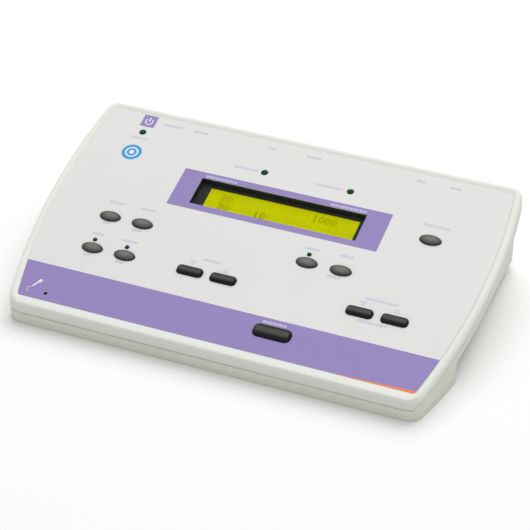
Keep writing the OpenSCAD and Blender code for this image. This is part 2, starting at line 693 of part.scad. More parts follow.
module usb_socket() color(metal_colour) {
    depth = 16;
    difference() {
        translate([usb_x - usb_w / 2, socket_face_y - depth, chip_seat]) cube([usb_w, depth, usb_h]);
        // D-shaped mouth of the square plug, with its two cut corners at the top
        translate([usb_x, socket_face_y + 1, usb_z]) rotate([90, 0, 0]) linear_extrude(10)
            polygon([[-4.25, -3.9], [4.25, -3.9], [4.25, 2], [2.7, 3.9], [-2.7, 3.9], [-4.25, 2]]);
    }
    translate([usb_x - 2.8, socket_face_y - 9.5, usb_z - 1.6]) cube([5.6, 8, 3.2]);
}
printer_d = 12.4;
printer_z = chip_seat + 6.6;
module printer_socket() color(dark_colour) {
    depth = 13;
    ring_r = 3.3;
    difference() {
        union() {
            translate([printer_x - 7, back_in_y - 0.1 - depth, chip_seat]) cube([14, depth, 13]);
            translate([printer_x, socket_face_y, printer_z]) rotate([90, 0, 0])
                cylinder(d = printer_d, h = socket_face_y - back_in_y + 0.2);
        }
        // Ring-shaped mouth, pin holes and the key slot
        translate([printer_x, socket_face_y + 1, printer_z]) rotate([90, 0, 0]) difference() {
            cylinder(d = 9.4, h = 8);
            translate([0, 0, 1.6]) cylinder(d = 7.4, h = 8);
        }
        for (a = [-120, -60, 0, 180, 240, 300]) translate([printer_x + ring_r * cos(a + 30) * 0.8,
                socket_face_y + 1, printer_z + ring_r * sin(a + 30) * 0.8])
            rotate([90, 0, 0]) cylinder(d = 1.1, h = 6);
        translate([printer_x - 1.1, socket_face_y - 6, printer_z - 0.9]) cube([2.2, 8, 1.8]);
    }
}
power_d = 11;
power_z = chip_seat + 6.4;
module power_inlet() color(dark_colour) {
    depth = 12;
    difference() {
        union() {
            translate([power_x - 4.6, back_in_y - 0.1 - depth, chip_seat]) cube([9.2, depth, 11]);
            translate([power_x, socket_face_y, power_z]) rotate([90, 0, 0])
                cylinder(d = power_d, h = socket_face_y - back_in_y + 0.2);
        }
        translate([power_x, socket_face_y + 1, power_z]) rotate([90, 0, 0]) cylinder(d = 5.6, h = 11);
    }
    translate([power_x, socket_face_y - 1, power_z]) rotate([90, 0, 0]) cylinder(d = 2, h = 10);
}
switch_w = 12.8;
switch_l = 19;
switch_lip = 1;
rocker_gap = 0.3;
rocker_r = 9.2;
pivot_y = back_out_y - 4.6;
module switch_housing() color(dark_colour) {
    depth = 15;
    hole_w = rocker_w + 2 * rocker_gap;
    difference() {
        union() {
            translate([switch_x - switch_w / 2, back_out_y - depth, switch_z - switch_l / 2])
                cube([switch_w, depth + 0.1, switch_l]);
            translate([switch_x - switch_w / 2 - switch_lip, back_out_y + 0.05, switch_z - switch_l / 2 - switch_lip])
                cube([switch_w + 2 * switch_lip, 1.6, switch_l + 2 * switch_lip]);
        }
        // Round-bottomed well, so that the rocker can swing
        translate([switch_x - hole_w / 2, pivot_y, switch_z]) rotate([0, 90, 0])
            cylinder(r = rocker_r + 0.5, h = hole_w, $fn = 96);
        // Holes for the rocker's pivot
        translate([switch_x - hole_w / 2 - 1, pivot_y, switch_z]) rotate([0, 90, 0])
            cylinder(d = pivot_d + 2 * pivot_gap, h = hole_w + 2);
    }
}
pivot_d = 2.4;
pivot_gap = 0.1;
module power_rocker() color(dark_colour) {
    // Two flat faces that meet in a shallow valley at the pivot, drawn in the off place
    translate([switch_x, pivot_y, switch_z]) rotate([-rocker_swing, 0, 0]) {
        intersection() {
            rotate([0, 90, 0]) cylinder(r = rocker_r, h = rocker_w, center = true, $fn = 96);
            rotate([90, 0, 90]) linear_extrude(rocker_w, center = true)
                polygon([[-3, -rocker_l / 2 + 1.5], [4, -rocker_l / 2], [7.6, -rocker_l / 2 + 0.4], [5.9, 0],
                    [7.6, rocker_l / 2 - 0.4], [4, rocker_l / 2], [-3, rocker_l / 2 - 1.5]]);
        }
        rotate([0, 90, 0]) cylinder(d = pivot_d, h = rocker_w + 2 * rocker_gap + 1.6, center = true);
    }
}

top_cover();
base_shell();
rear_panel();
panel_overlay();
display_liner();
display_window();
display_frame();
display_glass();
display_board();
oval_key("menu_key");  // menu_key
oval_key("print_key");  // print_key
oval_key("left_key");  // left_key
oval_key("right_key");  // right_key
oval_key("loud_key");  // loud_key
oval_key("auto_key");  // auto_key
oval_key("talk_key");  // talk_key
bar_key(place_of("signal_down_key"), "bar", bar_key_w);  // signal_down_key
bar_key(place_of("signal_up_key"), "bar", bar_key_w);  // signal_up_key
bar_key(place_of("frequency_down_key"), "bar", bar_key_w);  // frequency_down_key
bar_key(place_of("frequency_up_key"), "bar", bar_key_w);  // frequency_up_key
bar_key(tone_place, "tone", tone_key_w);  // present_key
key_board();
key_switches();
status_lamps();
key_lamps();
microphone();
microphone_boot();
main_board();
board_chips();
board_capacitors();
jack(jack_x[0]);  // left_jack
jack(jack_x[1]);  // right_jack
jack(jack_x[2]);  // response_jack
jack_nuts();
usb_socket();
printer_socket();
power_inlet();
switch_housing();
power_rocker();
rubber_feet();
case_screws();
board_screws();
board_headers();
ribbon_cable();
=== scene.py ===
"""Looks of a desk-top screening audiometer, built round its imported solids.

The pieces' sizes are in millimetres. Meshes, lamps and finishes are in metres. A piece of
the sloping panel is modelled flat, x to the right, y up the slope and z out of the panel,
and then laid on the slope with panel_place.
"""

import math

import bmesh
import bpy
from mathutils import Matrix, Vector


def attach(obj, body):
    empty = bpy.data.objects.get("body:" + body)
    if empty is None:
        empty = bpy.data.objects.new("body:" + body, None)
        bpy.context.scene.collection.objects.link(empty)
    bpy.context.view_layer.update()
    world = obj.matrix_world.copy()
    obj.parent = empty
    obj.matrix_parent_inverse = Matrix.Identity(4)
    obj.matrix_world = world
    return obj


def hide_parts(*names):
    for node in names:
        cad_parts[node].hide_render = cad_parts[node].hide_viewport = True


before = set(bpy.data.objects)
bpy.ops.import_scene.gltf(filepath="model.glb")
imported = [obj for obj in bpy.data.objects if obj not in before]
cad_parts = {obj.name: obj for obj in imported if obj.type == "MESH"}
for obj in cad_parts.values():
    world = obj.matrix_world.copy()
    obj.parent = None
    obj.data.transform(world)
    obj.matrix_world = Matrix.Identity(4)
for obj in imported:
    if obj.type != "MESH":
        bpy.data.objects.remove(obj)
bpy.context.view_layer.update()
bpy.ops.object.select_all(action="DESELECT")

MM = 0.001
SLOPE = math.radians(14)

# ---- sizes of the case ---------------------------------------------------------
# Plan: its two ends, the bowed sides and the corners between them
FRONT_Y = -82.3
REAR_Y = 77.7
HALF_WIDTH = 135.0
BOW_R = 375.0
BOW_X = HALF_WIDTH - BOW_R
BOW_Y = FRONT_Y + 100.0
FRONT_R = 9.0
REAR_R = 7.5
# Panel: the rolled edge in front of it, the place of its front edge and the rim beside it
BAND = 6.2
PANEL_Y = FRONT_Y + BAND
PANEL_Z = 15.0
RIM_W = 4.8
# Seam between cover and base: its drop under the slope, its height over the front bar and its gap
SEAM_DROP = 4.0 / math.cos(SLOPE)
SEAM_Z = 7.4
LIP = 2.0
BASE_GAP = 0.25
# Base: its flush band, the tray behind the front feet, and the heights of its undersides
FLANGE = 5.1 / math.cos(SLOPE)
TRAY_X = 127.5
FEET_INNER_X = 113.5
FOOT_Y = FRONT_Y + 42.0
BASE_Z = 4.7
BAR_Z = 0.1
# Turn of the bowed side at the back of the front feet
FOOT_SIDE_TURN = math.radians(8)
# Places on the right-hand half, each mirrored to the left
FRONT_SCREW = (85.0, FRONT_Y + 10)
REAR_SCREW = (119.5, REAR_Y - 14)
SCREW_HEAD_R = 3.1
FRONT_PAD = (114.5, FRONT_Y + 15)
REAR_PAD = (105.5, REAR_Y - 20)
PAD_R = 6.25
REAR_FOOT_R = 8.0
# Height that the seats of the front screws and of the rubber feet are measured from
SOLE_Z = 0.5

panel_place = Matrix.Translation((0, PANEL_Y * MM, PANEL_Z * MM)) @ Matrix.Rotation(SLOPE, 4, "X")


def panel_height(y):
    return PANEL_Z + (y - PANEL_Y) * math.tan(SLOPE)


def seam_height(y):
    return SEAM_Z if y < FRONT_Y + LIP + 0.05 else panel_height(y) - SEAM_DROP


# ---- outline of the case in plan -------------------------------------------------
CORNER_STEPS = 16
SIDE_STEPS = 44


def corner_centre(y, r):
    return BOW_X + math.sqrt((BOW_R - r) ** 2 - (y - BOW_Y) ** 2), y


front_c = corner_centre(FRONT_Y + FRONT_R, FRONT_R)
rear_c = corner_centre(REAR_Y - REAR_R, REAR_R)
front_turn = math.atan2(front_c[1] - BOW_Y, front_c[0] - BOW_X)
rear_turn = math.atan2(rear_c[1] - BOW_Y, rear_c[0] - BOW_X)


def arc(centre, r, start, end, steps, skip=0):
    turns = [start + (end - start) * k / steps for k in range(skip, steps + 1)]
    return [(centre[0] + r * math.cos(a), centre[1] + r * math.sin(a)) for a in turns]


def front_share(k):
    """Share of the front's profile at a point: 1 at the front, 0 past the corner, smooth between."""
    k = max(0.0, 1 - k / CORNER_STEPS)
    return k * k * (3 - 2 * k)


def half_outline(front, side):
    """Right-hand half of the outline, front to back, with the two insets blended round the corner."""
    points = []
    for k in range(CORNER_STEPS + 1):
        r = FRONT_R - (side + (front - side) * front_share(k))
        turn = -math.pi / 2 + (front_turn + math.pi / 2) * k / CORNER_STEPS
        points.append((front_c[0] + r * math.cos(turn), front_c[1] + r * math.sin(turn)))
    points += arc((BOW_X, BOW_Y), BOW_R - side, front_turn, rear_turn, SIDE_STEPS, 1)
    points += arc(rear_c, REAR_R - side, rear_turn, math.pi / 2, CORNER_STEPS, 1)
    return points


def whole_ring(half, heights):
    """Both halves of an outline as points in metres, each at its height."""
    right = [Vector((x, y, z)) * MM for (x, y), z in zip(half, heights)]
    return right + [Vector((-p.x, p.y, p.z)) for p in reversed(right)]


def rim_ring(front, side):
    """Ring of the rim: front and side are (inset, rise over the panel)."""
    half = half_outline(front[0], side[0])
    shares = [front_share(k) for k in range(len(half))]
    rises = [side[1] + (front[1] - side[1]) * s for s in shares]
    return whole_ring(half, [panel_height(y) + r / math.cos(SLOPE) for (x, y), r in zip(half, rises)])


def seam_ring(inset, lift):
    """Ring that follows the line where cover and base meet."""
    half = half_outline(0, 0)
    heights = [seam_height(y) + lift for x, y in half]
    return whole_ring(half_outline(inset, inset), heights)


# ---- working with objects ---------------------------------------------------------
def only(obj):
    """Makes a piece the only selected one, and the active one."""
    bpy.ops.object.select_all(action="DESELECT")
    obj.select_set(True)
    bpy.context.view_layer.objects.active = obj
    return obj


def finish_mesh(obj, name, angle=32):
    """Names a piece, sets its place into its mesh and smooths its faces up to an angle."""
    obj.name = name
    obj.data.name = name
    only(obj)
    bpy.ops.object.transform_apply(location=True, rotation=True, scale=True)
    bpy.ops.object.shade_smooth_by_angle(angle=math.radians(angle))
    return obj


def lofted(name, rings, angle=32):
    """A closed form: the first ring is capped, and the cap is extruded from ring to ring."""
    bpy.ops.mesh.primitive_circle_add(vertices=len(rings[0]), radius=0.01, fill_type="NGON")
    obj = bpy.context.object
    bpy.ops.object.mode_set(mode="EDIT")
    mesh = bmesh.from_edit_mesh(obj.data)
    face = mesh.faces[:][0]
    for vert, point in zip([l.vert for l in face.loops], rings[0]):
        vert.co = point
    bpy.ops.mesh.select_all(action="SELECT")
    for before, ring in zip(rings, rings[1:]):
        bpy.ops.mesh.extrude_region_move()
        mesh = bmesh.from_edit_mesh(obj.data)
        face = [f for f in mesh.faces if f.select][0]
        corners = [l.vert for l in face.loops]
        start = min(range(len(corners)), key=lambda i: (corners[i].co - before[0]).length)
        forward = (corners[(start + 1) % len(corners)].co - before[1]).length
        backward = (corners[start - 1].co - before[1]).length
        step = 1 if forward <= backward else -1
        for i, point in enumerate(ring):
            corners[(start + step * i) % len(corners)].co = point
    bpy.ops.mesh.select_all(action="SELECT")
    bpy.ops.mesh.remove_doubles(threshold=1e-6)
    bpy.ops.mesh.normals_make_consistent(inside=False)
    bpy.ops.object.mode_set(mode="OBJECT")
    return finish_mesh(obj, name, angle)


def prism(name, points, low, high):
    """Upright prism over a plan outline given in millimetres."""
    return lofted(name, [[Vector((x, y, z)) * MM for x, y in points] for z in (low, high)])


def joined(pieces, name):
    bpy.ops.object.select_all(action="DESELECT")
    for piece in pieces:
        piece.select_set(True)
    bpy.context.view_layer.objects.active = pieces[0]
    bpy.ops.object.join()
    obj = bpy.context.object
    obj.name = name
    obj.data.name = name
    return obj


def combined(obj, tool, operation):
    """Cuts a tool from a piece, or joins it on, and removes the tool."""
    step = obj.modifiers.new("step", "BOOLEAN")
    step.object = tool
    step.operation = operation
    step.solver = "EXACT"
    only(obj)
    bpy.ops.object.modifier_apply(modifier="step")
    bpy.data.objects.remove(tool)
    return obj


def softened(obj, width, angle=40):
    """Rounds the sharp edges of a piece by a width in millimetres."""
    edge = obj.modifiers.new("edge", "BEVEL")
    edge.width = width * MM
    edge.segments = 2
    edge.limit_method = "ANGLE"
    edge.angle_limit = math.radians(angle)
    edge.miter_outer = "MITER_ARC"
    only(obj)
    bpy.ops.object.modifier_apply(modifier="edge")
    return obj


def block(name, low, high):
    """Box between two corners in millimetres, as a cutting or joining form."""
    centre = [(a + b) / 2 * MM for a, b in zip(low, high)]
    bpy.ops.mesh.primitive_cube_add(size=1, location=centre)
    obj = bpy.context.object
    obj.scale = [(b - a) * MM for a, b in zip(low, high)]
    return finish_mesh(obj, name)


def drum(name, centre, r, low, high, sides=48):
    """Upright cylinder in millimetres."""
    bpy.ops.mesh.primitive_cylinder_add(vertices=sides, radius=r * MM, depth=(high - low) * MM,
                                        location=(centre[0] * MM, centre[1] * MM, (low + high) / 2 * MM))
    return finish_mesh(bpy.context.object, name)


# ---- sizes and places of the panel's pieces, in panel millimetres -----------------
OVAL = (12.6, 7.0)
BAR = (15.4, 6.0)
TONE = (22.0, 8.4)
BAR_CORNER = 0.38
KEY_H = 2.0
KEY_FOOT = -4.1
KEY_FLANGE = (-4.15, -3.15)
FLANGE_GROW = 0.9
STEM_R = 1.6
STEM_FOOT = -6.4
KEY_GAP = 0.3
LAMP_R = 2.05
SMALL_LAMP_R = 1.25
LAMP_H = 1.3
LAMP_FOOT = -8.2
LAMP_GAP = 0.15
VENT_R = 1.2
ovals = {
    "menu_key": (-91.5, 69.5), "print_key": (-71.15, 69.5), "left_key": (-91.5, 44.2),
    "right_key": (-71.15, 44.2), "loud_key": (30.525, 69.5), "auto_key": (50.875, 69.5),
    "talk_key": (91.5, 105.6)}
bars = {
    "signal_down_key": (-30.525, 44.2), "signal_up_key": (-10.175, 44.2),
    "frequency_down_key": (71.15, 44.2), "frequency_up_key": (91.5, 44.2)}
tone_key = (30.525, 16.1)
lamps = [(-101.2, 138.4), (-18.2, 128.1), (35.3, 128.1)]
small_lamps = [(-92.6, 50.5), (-72.3, 50.5), (29.7, 75.8)]
microphone_hole = (-102.9, 5.3)
# Display: its window and its field, and the heights of the parts under the panel
WINDOW = (102.6, 20.8)
FIELD = (92.6, 15.4)
window_middle = (-0.5, 103.5)
field_middle = (1.0, window_middle[1])
LINER_LOW = -3.6
LINER_FLANGE_TOP = -3.05
MASK_TOP = -4.35
GLASS_TOP = -4.7
MASK_LOW = -9.0
# Print: the sheet's thickness and top, the foot of an ink, and the top of ink printed over ink
SHEET = 0.42
SHEET_TOP = -0.02
INK_FOOT = -0.025
OVERPRINT = 0.02


def ellipse(centre, a, b, steps=56):
    turns = [2 * math.pi * k / steps for k in range(steps)]
    return [(centre[0] + a * math.cos(turn), centre[1] + b * math.sin(turn)) for turn in turns]


def rounded_bar(centre, length, width, r, steps=8):
    """Rectangle with round corners, its corners listed anticlockwise from the lower right."""
    x, y = length / 2 - r, width / 2 - r
    corners = [(x, -y, -1), (x, y, 0), (-x, y, 1), (-x, -y, 2)]
    quarter = math.pi / 2
    return [p for cx, cy, turn in corners
            for p in arc((centre[0] + cx, centre[1] + cy), r, turn * quarter, (turn + 1) * quarter, steps)]


def rectangle(u0, v0, u1, v1):
    return [(u0, v0), (u1, v0), (u1, v1), (u0, v1)]


def bar_plan(centre, size, grow):
    return rounded_bar(centre, size[0] + 2 * grow, size[1] + 2 * grow, BAR_CORNER * size[1] + grow)


def around(middle, size, grow=0.0, grow_v=None):
    """Rectangle of a size about a middle point, grown on every side."""
    w, h = size[0] / 2 + grow, size[1] / 2 + (grow if grow_v is None else grow_v)
    return rectangle(middle[0] - w, middle[1] - h, middle[0] + w, middle[1] + h)


def hole_cutters(low, high, grow, window_grow):
    """One tool for every hole of the panel, from a depth to a height over it."""
    forms = [prism("hole", ellipse(p, OVAL[0] / 2 + grow, OVAL[1] / 2 + grow), low, high)
             for p in ovals.values()]
    forms += [prism("hole", bar_plan(p, BAR, grow), low, high) for p in bars.values()]
    forms.append(prism("hole", bar_plan(tone_key, TONE, grow), low, high))
    rounds = [(p, LAMP_R + LAMP_GAP, 40) for p in lamps]
    rounds += [(p, SMALL_LAMP_R + LAMP_GAP, 32) for p in small_lamps] + [(microphone_hole, VENT_R, 32)]
    forms += [prism("hole", ellipse(p, r, r, steps), low, high) for p, r, steps in rounds]
    forms.append(prism("hole", around(window_middle, WINDOW, window_grow), low, high))
    tool = joined(forms, "holes")
    tool.data.transform(panel_place)
    return tool


# ---- materials --------------------------------------------------------------------
def finish_nodes(name):
    """A new material: its nodes, its links, its shader and its Object coordinates."""
    material = bpy.data.materials.new(name)
    material.use_nodes = True
    nodes = material.node_tree.nodes
    shader = nodes["Principled BSDF"]
    place = nodes.new("ShaderNodeTexCoord")
    return material, nodes, material.node_tree.links, shader, place.outputs["Object"]


def grain(nodes, links, coordinates, scale, detail=3.0, roughness=0.6):
    noise = nodes.new("ShaderNodeTexNoise")
    noise.inputs["Scale"].default_value = scale
    noise.inputs["Detail"].default_value = detail
    noise.inputs["Roughness"].default_value = roughness
    links.new(coordinates, noise.inputs["Vector"])
    return noise.outputs["Fac"]


def spread(nodes, links, value, low, high, start=0.3, end=0.7):
    """Maps a grain value to a range, such as a roughness."""
    fit = nodes.new("ShaderNodeMapRange")
    fit.inputs["From Min"].default_value = start
    fit.inputs["From Max"].default_value = end
    fit.inputs["To Min"].default_value = low
    fit.inputs["To Max"].default_value = high
    links.new(value, fit.inputs["Value"])
    return fit.outputs["Result"]


def tinted(nodes, links, value, dark, light, start=0.3, end=0.7):
    """Colours a grain value from dark to light."""
    ramp = nodes.new("ShaderNodeValToRGB")
    ramp.color_ramp.elements[0].position = start
    ramp.color_ramp.elements[0].color = (*dark, 1)
    ramp.color_ramp.elements[1].position = end
    ramp.color_ramp.elements[1].color = (*light, 1)
    links.new(value, ramp.inputs["Fac"])
    return ramp.outputs["Color"]


def relief(nodes, links, shader, height, strength, distance):
    bump = nodes.new("ShaderNodeBump")
    bump.inputs["Strength"].default_value = strength
    bump.inputs["Distance"].default_value = distance
    links.new(height, bump.inputs["Height"])
    links.new(bump.outputs["Normal"], shader.inputs["Normal"])


def linear(r, g, b):
    """Scene colour of a display colour given in steps of 255."""
    return tuple((c / 255 / 12.92) if c <= 10 else ((c / 255 + 0.055) / 1.055) ** 2.4 for c in (r, g, b))


def moulded(name, colour, rough, variation, grain_scale=2200, relief_strength=0.12, specular=0.4):
    """Moulded plastic or rubber: fine spark-eroded grain, slight cloudiness and handled patches."""
    material, nodes, links, shader, place = finish_nodes(name)
    clouds = grain(nodes, links, place, 14, 4)
    dark = tuple(c * (1 - variation) for c in colour)
    light = tuple(min(1.0, c * (1 + variation)) for c in colour)
    links.new(tinted(nodes, links, clouds, dark, light), shader.inputs["Base Color"])
    handled = grain(nodes, links, place, 55, 5)
    links.new(spread(nodes, links, handled, rough - 0.05, rough + 0.06), shader.inputs["Roughness"])
    relief(nodes, links, shader, grain(nodes, links, place, grain_scale, 2), relief_strength, 0.00005)
    shader.inputs["Specular IOR Level"].default_value = specular
    return material


def panel_coordinates(nodes, links, place):
    """Object coordinates turned to the panel: y up its slope and z out of it, from its front edge."""
    turn = nodes.new("ShaderNodeMapping")
    turn.inputs["Rotation"].default_value = (-SLOPE, 0, 0)
    rise = PANEL_Y * math.sin(SLOPE) - PANEL_Z * math.cos(SLOPE)
    run = -PANEL_Y * math.cos(SLOPE) - PANEL_Z * math.sin(SLOPE)
    turn.inputs["Location"].default_value = (0, run * MM, rise * MM)
    links.new(place, turn.inputs["Vector"])
    return turn.outputs["Vector"]


def key_rubber_painted_light(name, flank, crown, rough, start, end, gloss):
    """Silicone rubber of a key, coloured between two heights from the flank colour to the crown colour: a
    painted highlight on the crown and painted shade on the flanks.
    """
    material, nodes, links, shader, place = finish_nodes(name)
    split = nodes.new("ShaderNodeSeparateXYZ")
    links.new(panel_coordinates(nodes, links, place), split.inputs["Vector"])
    scuffs = grain(nodes, links, place, 420, 5, 0.7)
    height = nodes.new("ShaderNodeMath")
    height.operation = "MULTIPLY_ADD"
    links.new(scuffs, height.inputs[0])
    height.inputs[1].default_value = 0.0003
    links.new(split.outputs["Z"], height.inputs[2])
    # The ramp by height is painted light: a painted highlight on the crown and painted shade down the flanks.
    share = spread(nodes, links, height.outputs["Value"], 0.0, 1.0, start, end)
    links.new(tinted(nodes, links, share, flank, crown, 0.0, 1.0), shader.inputs["Base Color"])
    links.new(spread(nodes, links, scuffs, rough - 0.06, rough + 0.08), shader.inputs["Roughness"])
    relief(nodes, links, shader, grain(nodes, links, place, 1800, 2), 0.12, 0.00005)
    shader.inputs["Specular IOR Level"].default_value = gloss
    return material


def printed(name, colour):
    """Screen-printed ink: even colour, faint mottling and the film's satin."""
    return moulded(name, colour, 0.45, 0.02, 3500, 0.04, 0.35)


shell_finish = moulded("shell_plastic", linear(233, 236, 228), 0.42, 0.012, 2400, 0.16)
# Base colour a shade darker than the shell's: the darkening is painted shade on the base's low faces.
base_finish = moulded("base_plastic", linear(231, 234, 221), 0.46, 0.012, 2400, 0.16)
film_finish = moulded("overlay_film", linear(226, 226, 224), 0.4, 0.01, 4200, 0.05, 0.35)
purple_ink = printed("purple_ink", linear(144, 128, 187))
pale_ink = printed("pale_purple_ink", linear(202, 199, 221))
surround_ink = printed("surround_label_ink", linear(196, 189, 224))
white_ink = printed("white_ink", linear(236, 234, 244))
blue_ink = printed("blue_ink", linear(24, 156, 216))
orange_ink = printed("orange_ink", linear(250, 128, 48))
# Grey keys: painted shade on their flanks and a painted highlight on their domes. Black keys: a painted
# highlight along the crown's ridge, with flanks painted darker than the rubber.
grey_rubber = key_rubber_painted_light("grey_key_rubber", linear(52, 53, 53), linear(114, 115, 110), 0.45,
                             0.0012, 0.0023, 0.3)
black_rubber = key_rubber_painted_light("black_key_rubber", linear(12, 13, 14), linear(78, 78, 76), 0.38,
                              0.0018, 0.0023, 0.16)
dark_plastic = moulded("dark_plastic", linear(31, 32, 33), 0.45, 0.06, 1500, 0.1, 0.4)
# Mask colour set paler than the mask's real black: painted light that lifts the deep shade of the display's
# recess.
mask_black = moulded("mask_black", linear(53, 55, 54), 0.8, 0.06, 1500, 0.1, 0.03)
vent_black = moulded("vent_black", linear(16, 16, 16), 0.9, 0.06, 1500, 0.1, 0.0)
soft_rubber = moulded("foot_rubber", linear(38, 38, 38), 0.7, 0.08, 900, 0.25, 0.3)
sleeve_finish = moulded("capacitor_sleeve", linear(34, 38, 58), 0.35, 0.04, 900, 0.05)
cable_finish = moulded("cable_sleeve", linear(168, 168, 170), 0.5, 0.04, 700, 0.15)


def lens_finish():
    """Dark green lamp lens, unlit, with a faint mottle and a soft gloss."""
    material, nodes, links, shader, place = finish_nodes("lamp_lens")
    cloud = grain(nodes, links, place, 900, 2)
    links.new(tinted(nodes, links, cloud, linear(0, 66, 36), linear(0, 90, 50)), shader.inputs["Base Color"])
    links.new(spread(nodes, links, cloud, 0.2, 0.3), shader.inputs["Roughness"])
    shader.inputs["Specular IOR Level"].default_value = 0.1
    return material


def metal_finish(name, colour, rough):
    """Plated metal with fine turning or drawing lines."""
    material, nodes, links, shader, place = finish_nodes(name)
    stretch = nodes.new("ShaderNodeMapping")
    stretch.inputs["Scale"].default_value = (1.0, 0.12, 1.0)
    links.new(place, stretch.inputs["Vector"])
    lines = grain(nodes, links, stretch.outputs["Vector"], 2560, 3)
    patches = grain(nodes, links, place, 80, 4)
    dark = tuple(c * 0.88 for c in colour)
    links.new(tinted(nodes, links, patches, dark, colour), shader.inputs["Base Color"])
    links.new(spread(nodes, links, lines, rough, rough + 0.14), shader.inputs["Roughness"])
    relief(nodes, links, shader, lines, 0.08, 0.00003)
    shader.inputs["Metallic"].default_value = 1.0
    return material


def clear_finish():
    """Clear hard-coated pane: nearly all light passes, with a faint haze and a thin gloss."""
    material, nodes, links, shader, place = finish_nodes("clear_window")
    haze = grain(nodes, links, place, 60, 4)
    links.new(spread(nodes, links, haze, 0.03, 0.08), shader.inputs["Roughness"])
    links.new(spread(nodes, links, haze, 0.006, 0.018), shader.inputs["Alpha"])
    shader.inputs["Base Color"].default_value = (0.05, 0.06, 0.05, 1)
    return material


def board_finish():
    """Green lacquered board: darker lanes of copper under the lacquer, and a gloss coat."""
    material, nodes, links, shader, place = finish_nodes("board_lacquer")
    lanes = nodes.new("ShaderNodeTexBrick")
    lanes.inputs["Scale"].default_value = 160
    lanes.inputs["Color1"].default_value = (*linear(22, 84, 48), 1)
    lanes.inputs["Color2"].default_value = (*linear(26, 96, 54), 1)
    lanes.inputs["Mortar"].default_value = (*linear(16, 66, 40), 1)
    lanes.inputs["Mortar Size"].default_value = 0.03
    links.new(place, lanes.inputs["Vector"])
    links.new(lanes.outputs["Color"], shader.inputs["Base Color"])
    cloud = grain(nodes, links, place, 120, 3)
    links.new(spread(nodes, links, cloud, 0.25, 0.4), shader.inputs["Roughness"])
    relief(nodes, links, shader, lanes.outputs["Fac"], 0.2, 0.00003)
    return material


def display_finish():
    """Yellow-green field with a faint grid of character cells; its weak emission is painted light that
    brightens the field in the window's shade.
    """
    material, nodes, links, shader, place = finish_nodes("display_field")
    turn = nodes.new("ShaderNodeMapping")
    turn.inputs["Rotation"].default_value = (-SLOPE, 0, 0)
    links.new(place, turn.inputs["Vector"])
    cells = nodes.new("ShaderNodeTexBrick")
    cells.offset = 0.0
    cells.inputs["Scale"].default_value = 1.0
    cells.inputs["Brick Width"].default_value = 0.0038
    cells.inputs["Row Height"].default_value = 0.0068
    cells.inputs["Mortar Size"].default_value = 0.00045
    cells.inputs["Mortar Smooth"].default_value = 0.3
    cells.inputs["Color1"].default_value = (*linear(184, 188, 0), 1)
    cells.inputs["Color2"].default_value = (*linear(189, 193, 0), 1)
    cells.inputs["Mortar"].default_value = (*linear(197, 201, 0), 1)
    links.new(turn.outputs["Vector"], cells.inputs["Vector"])
    cloud = grain(nodes, links, place, 70, 3)
    glow = nodes.new("ShaderNodeMix")
    glow.data_type = "RGBA"
    glow.blend_type = "MULTIPLY"
    glow.inputs["Factor"].default_value = 0.25
    links.new(cells.outputs["Color"], glow.inputs[6])
    links.new(tinted(nodes, links, cloud, (0.86, 0.86, 0.8), (1, 1, 1)), glow.inputs[7])
    links.new(glow.outputs[2], shader.inputs["Base Color"])
    links.new(glow.outputs[2], shader.inputs["Emission Color"])
    # Painted light: the emission lifts the field out of the shade of the window.
    shader.inputs["Emission Strength"].default_value = 0.2
    links.new(spread(nodes, links, cloud, 0.45, 0.6), shader.inputs["Roughness"])
    shader.inputs["Specular IOR Level"].default_value = 0.0
    return material


lamp_lens = lens_finish()
nickel = metal_finish("nickel_plate", (0.62, 0.61, 0.58), 0.22)
zinc_steel = metal_finish("zinc_steel", (0.5, 0.5, 0.5), 0.34)
clear_window = clear_finish()
board_lacquer = board_finish()
display_field = display_finish()
character_ink = moulded("display_characters", linear(112, 112, 0), 0.7, 0.03, specular=0.0)


def dress(obj, material, body, replaced=()):
    """Gives a new piece its finish, its body and the solids that it stands for."""
    obj.data.materials.clear()
    obj.data.materials.append(material)
    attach(obj, body)
    if replaced:
        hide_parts(*replaced)
    return obj


# ---- camera, floor and light --------------------------------------------------------
# The view fitted to the photograph: focal length and width in pixels, and the camera's two angles
FOCAL_PIXELS = 2075.8
VIEW_PIXELS = 530
SENSOR = 36
CAMERA_TURN = math.radians(22.16)
CAMERA_DIP = math.radians(35.72)
camera_data = bpy.data.cameras.new("camera")
camera_data.sensor_fit = "HORIZONTAL"
camera_data.sensor_width = SENSOR
camera_data.lens = FOCAL_PIXELS / VIEW_PIXELS * SENSOR
camera_data.clip_start = 0.05
camera_data.clip_end = 20
camera = bpy.data.objects.new("camera", camera_data)
camera.location = (0.3660, -0.8945, 0.71135)
camera.rotation_euler = (math.pi / 2 - CAMERA_DIP, 0, CAMERA_TURN)
bpy.context.scene.collection.objects.link(camera)
bpy.context.scene.camera = camera


def studio_floor():
    """Pale floor: white as the camera sees it, a little greyer as it throws light back."""
    bpy.ops.mesh.primitive_plane_add(size=8, location=(0, 0, 0))
    floor = bpy.context.object
    floor.name = "studio_floor"
    material, nodes, links, shader, place = finish_nodes("pale_floor")
    cloud = grain(nodes, links, place, 3, 2)
    rays = nodes.new("ShaderNodeLightPath")
    tone = nodes.new("ShaderNodeMix")
    tone.data_type = "RGBA"
    links.new(rays.outputs["Is Camera Ray"], tone.inputs["Factor"])
    links.new(tinted(nodes, links, cloud, (0.77, 0.77, 0.755), (0.79, 0.79, 0.775)), tone.inputs[6])
    links.new(tinted(nodes, links, cloud, (0.99, 0.99, 0.99), (1.0, 1.0, 1.0)), tone.inputs[7])
    links.new(tone.outputs[2], shader.inputs["Base Color"])
    lift = nodes.new("ShaderNodeMath")
    lift.operation = "MULTIPLY"
    lift.inputs[1].default_value = 0.02
    links.new(rays.outputs["Is Camera Ray"], lift.inputs[0])
    links.new(lift.outputs["Value"], shader.inputs["Emission Strength"])
    shader.inputs["Emission Color"].default_value = (1, 1, 1, 1)
    shader.inputs["Roughness"].default_value = 0.9
    shader.inputs["Specular IOR Level"].default_value = 0.0
    floor.data.materials.append(material)


